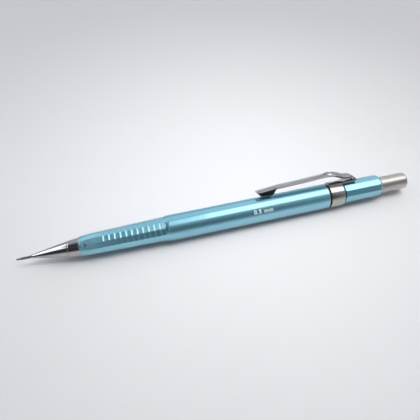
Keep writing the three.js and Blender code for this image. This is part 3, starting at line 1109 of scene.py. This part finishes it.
def floor():
    """The pale table, which is only there for the picture."""
    mesh = bpy.data.meshes.new("table")
    half = FLOOR_SIZE / 2
    corners = [(-half, -half, 0), (half, -half, 0), (half, half, 0), (-half, half, 0)]
    mesh.from_pydata(corners, [], [(0, 1, 2, 3)])
    table = bpy.data.objects.new("table", mesh)
    bpy.context.scene.collection.objects.link(table)
    m = Nodes("pale table")
    m.set(
        Base_Color=m.blend(m.noise(0.01), [(0.655, 0.66, 0.674), (0.67, 0.675, 0.689)]),
        Roughness=0.75,
    )
    mesh.materials.append(m.material)


def soft_light(name, middle, size, brightness, target=None, color=(1, 1, 1)):
    """A rectangular softbox. brightness is what a mirror shows of it, where 1 is white."""
    data = bpy.data.lights.new(name, "AREA")
    data.shape = "RECTANGLE"
    data.size, data.size_y = size
    data.energy = brightness * math.pi * size[0] * size[1]
    data.color = color
    light = bpy.data.objects.new(name, data)
    light.location = middle
    aim = Vector(target or (middle[0], middle[1], 0)) - Vector(middle)
    light.rotation_euler = aim.to_track_quat("-Z", "Y").to_euler()
    bpy.context.scene.collection.objects.link(light)
    return light


def pool_light(middle, target, watts, width):
    """A wide soft spot that lights the table most in the middle, and doesn't show in the metal."""
    data = bpy.data.lights.new("pool", "SPOT")
    data.energy = watts
    data.spot_size = math.radians(width)
    data.spot_blend = 1.0
    data.shadow_soft_size = 0.08
    light = bpy.data.objects.new("pool", data)
    light.location = middle
    light.rotation_euler = (Vector(target) - Vector(middle)).to_track_quat("-Z", "Y").to_euler()
    light.visible_glossy = False
    bpy.context.scene.collection.objects.link(light)


def room():
    """A studio, dark on the viewer's side and overhead on the left.

    Behind the pencil is a pale wall, in front low down a faint light, and at the left a faint strip.
    """
    studio = bpy.data.worlds.new("studio")
    bpy.context.scene.world = studio
    studio.use_nodes = True
    nodes, links = studio.node_tree.nodes, studio.node_tree.links
    split = nodes.new("ShaderNodeSeparateXYZ")
    links.new(nodes.new("ShaderNodeTexCoord").outputs["Generated"], split.inputs[0])

    def ramp(axis, low, high, first, last):
        """Goes smoothly from first to last where the direction's axis goes from low to high."""
        node = nodes.new("ShaderNodeMapRange")
        node.interpolation_type = "SMOOTHSTEP"
        links.new(split.outputs[axis], node.inputs["Value"])
        node.inputs["From Min"].default_value = low
        node.inputs["From Max"].default_value = high
        node.inputs["To Min"].default_value = first
        node.inputs["To Max"].default_value = last
        return node.outputs[0]

    def join(operation, first, second):
        node = nodes.new("ShaderNodeMath")
        node.operation = operation
        links.new(first, node.inputs[0])
        links.new(second, node.inputs[1])
        return node.outputs[0]

    overhead = join("MULTIPLY", ramp("Y", -0.92, -0.1, 0.03, 0.6), ramp("X", -0.15, 0.1, 0.12, 1.0))
    high_wall = join("MULTIPLY", ramp("Y", 0.0, 0.65, 0.0, 0.9), ramp("Z", 0.0, 0.45, 0.68, 1.0))
    wall = join("MULTIPLY", high_wall, ramp("X", -0.35, 0.3, 0.7, 1.05))
    low_and_right = join("ADD", ramp("Z", 0.05, 0.34, 0.48, 0.04), ramp("X", 0.15, 0.5, 0.0, 0.08))
    front = join("MULTIPLY", ramp("Y", -0.5, -0.2, 1.0, 0.0), low_and_right)
    column = join("MULTIPLY", ramp("X", -0.33, -0.24, 0.0, 0.36), ramp("X", -0.17, -0.08, 1.0, 0.0))
    left_strip = join("MULTIPLY", column, ramp("Z", 0.1, 0.4, 0.0, 1.0))
    light = join("ADD", join("ADD", join("MAXIMUM", overhead, wall), front), left_strip)
    links.new(light, nodes["Background"].inputs["Strength"])
    nodes["Background"].inputs["Color"].default_value = (0.9, 0.95, 1.03, 1)


WARM = (1.07, 1.0, 0.97)  # two of the softboxes are a little warmer than the room
CAMERA_PLACE = (-29.13, -90.1, 120.26)  # millimetres
CAMERA_ELEVATION = 50.0  # degrees down from level
CAMERA_AZIMUTH = 14.77  # degrees to the right of straight across the pencil
CAMERA_SENSOR = 36  # millimetres, like the lens
CAMERA_LENS = 36


def camera():
    """The photograph's camera, as it was fitted to the pencil's ends, its band and its grip."""
    data = bpy.data.cameras.new("camera")
    data.sensor_width = CAMERA_SENSOR
    data.lens = CAMERA_LENS
    data.clip_start = 0.005
    view = bpy.data.objects.new("camera", data)
    view.location = Vector(CAMERA_PLACE) * MM
    view.rotation_euler = (math.radians(90 - CAMERA_ELEVATION), 0, -math.radians(CAMERA_AZIMUTH))
    bpy.context.scene.collection.objects.link(view)
    bpy.context.scene.camera = view


floor()
room()
soft_light("softbox_right", middle=(0.355, 0.01, 0.6), size=(0.54, 0.48), brightness=1.92, color=WARM)
soft_light("softbox_edge", middle=(0.02, 0.0, 0.6), size=(0.13, 0.4), brightness=0.62, color=WARM)
soft_light("softbox_left", middle=(-0.635, 0.25, 0.6), size=(0.53, 0.8), brightness=2.2)
fill = soft_light("fill", (0.05, -0.55, 0.5), size=(0.6, 0.4), brightness=0.12, target=(0, 0, 0))
fill.visible_glossy = False
pool_light(middle=(0.04, -0.025, 0.34), target=(0.012, 0.018, 0), watts=3.5, width=40)
camera()
bpy.context.scene.view_settings.view_transform = "Standard"
